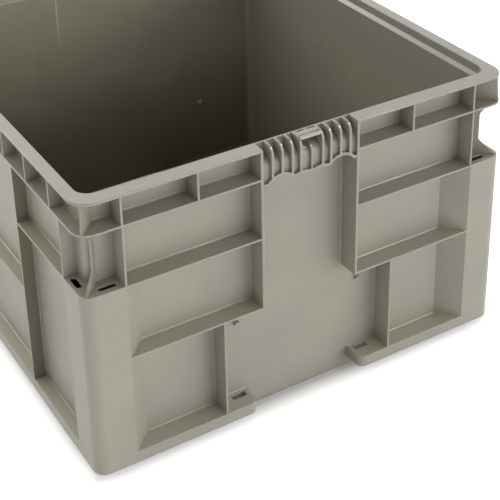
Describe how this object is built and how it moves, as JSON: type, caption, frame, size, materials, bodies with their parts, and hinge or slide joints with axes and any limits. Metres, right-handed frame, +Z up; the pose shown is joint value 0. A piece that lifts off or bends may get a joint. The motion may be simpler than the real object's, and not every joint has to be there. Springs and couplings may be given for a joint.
{
  "type": "stacking crate",
  "caption": "Rigid straight-wall stacking crate, open top, wide rim, ribbed walls, hollow corner posts and moulded grip handles on its ends.",
  "frame": {"origin": "centre of the footprint, on the plane of the stacking foot", "axes": "+Z up; X across the two handle ends; Y along the two long sides"},
  "size_m": [0.5716, 0.6096, 0.3683],
  "materials": {
    "crate_plastic": "satin moulded polyethylene, warm olive grey"
  },
  "bodies": {
    "root": {"crate_body": "crate_plastic"}
  },
  "joints": []
}
